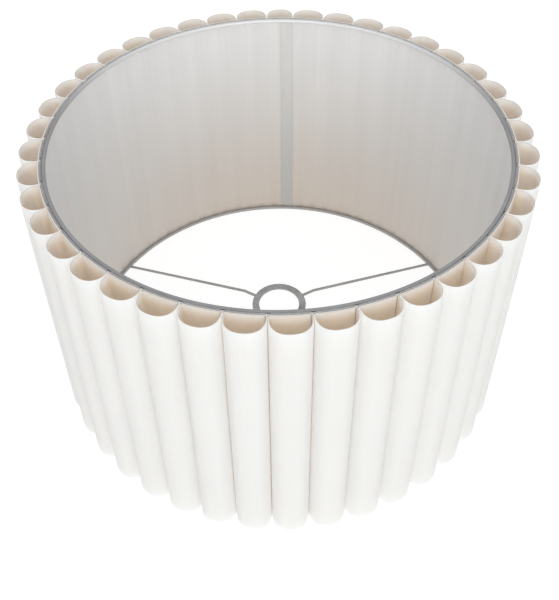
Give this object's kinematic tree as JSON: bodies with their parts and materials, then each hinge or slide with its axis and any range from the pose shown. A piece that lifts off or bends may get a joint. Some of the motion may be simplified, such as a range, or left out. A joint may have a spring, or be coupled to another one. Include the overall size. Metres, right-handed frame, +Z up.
{
  "type": "lamp shade",
  "caption": "Round drum lamp shade with a scalloped wall of upright fabric tubes around a translucent liner, on a wire frame with a three-spoke fitter.",
  "frame": {"origin": "on the shade's axis, in the plane of its lower edge", "axes": "+Z up along the axis of the drum; -Y is the front, and the closing flute and the liner's joint are at the back, +Y"},
  "size_m": [0.4495, 0.4498, 0.269],
  "materials": {
    "flute_fabric": "off-white plain-woven cotton laminated to a warm beige backing sheet",
    "liner_sheet": "translucent grey-white sheet, satin",
    "joint_strip": "translucent strip, satin",
    "frame_wire": "zinc-plated drawn wire, satin",
    "fitter_plate": "zinc-plated pressed steel, satin"
  },
  "bodies": {
    "root": {"flute_right_01": "flute_fabric", "flute_right_02": "flute_fabric", "flute_right_03": "flute_fabric", "flute_right_04": "flute_fabric", "flute_right_05": "flute_fabric", "flute_right_06": "flute_fabric", "flute_right_07": "flute_fabric", "flute_right_08": "flute_fabric", "flute_right_09": "flute_fabric", "flute_right_10": "flute_fabric", "flute_right_11": "flute_fabric", "flute_right_12": "flute_fabric", "flute_right_13": "flute_fabric", "flute_right_14": "flute_fabric", "flute_right_15": "flute_fabric", "flute_right_16": "flute_fabric", "flute_right_17": "flute_fabric", "flute_right_18": "flute_fabric", "flute_right_19": "flute_fabric", "flute_right_20": "flute_fabric", "flute_left_01": "flute_fabric", "flute_left_02": "flute_fabric", "flute_left_03": "flute_fabric", "flute_left_04": "flute_fabric", "flute_left_05": "flute_fabric", "flute_left_06": "flute_fabric", "flute_left_07": "flute_fabric", "flute_left_08": "flute_fabric", "flute_left_09": "flute_fabric", "flute_left_10": "flute_fabric", "flute_left_11": "flute_fabric", "flute_left_12": "flute_fabric", "flute_left_13": "flute_fabric", "flute_left_14": "flute_fabric", "flute_left_15": "flute_fabric", "flute_left_16": "flute_fabric", "flute_left_17": "flute_fabric", "flute_left_18": "flute_fabric", "flute_left_19": "flute_fabric", "flute_left_20": "flute_fabric", "flute_closing": "flute_fabric", "liner": "liner_sheet", "liner_joint_strip": "joint_strip", "top_ring": "frame_wire", "bottom_ring": "frame_wire", "spoke_1": "frame_wire", "spoke_2": "frame_wire", "spoke_3": "frame_wire", "fitter_ring": "fitter_plate"}
  },
  "joints": []
}
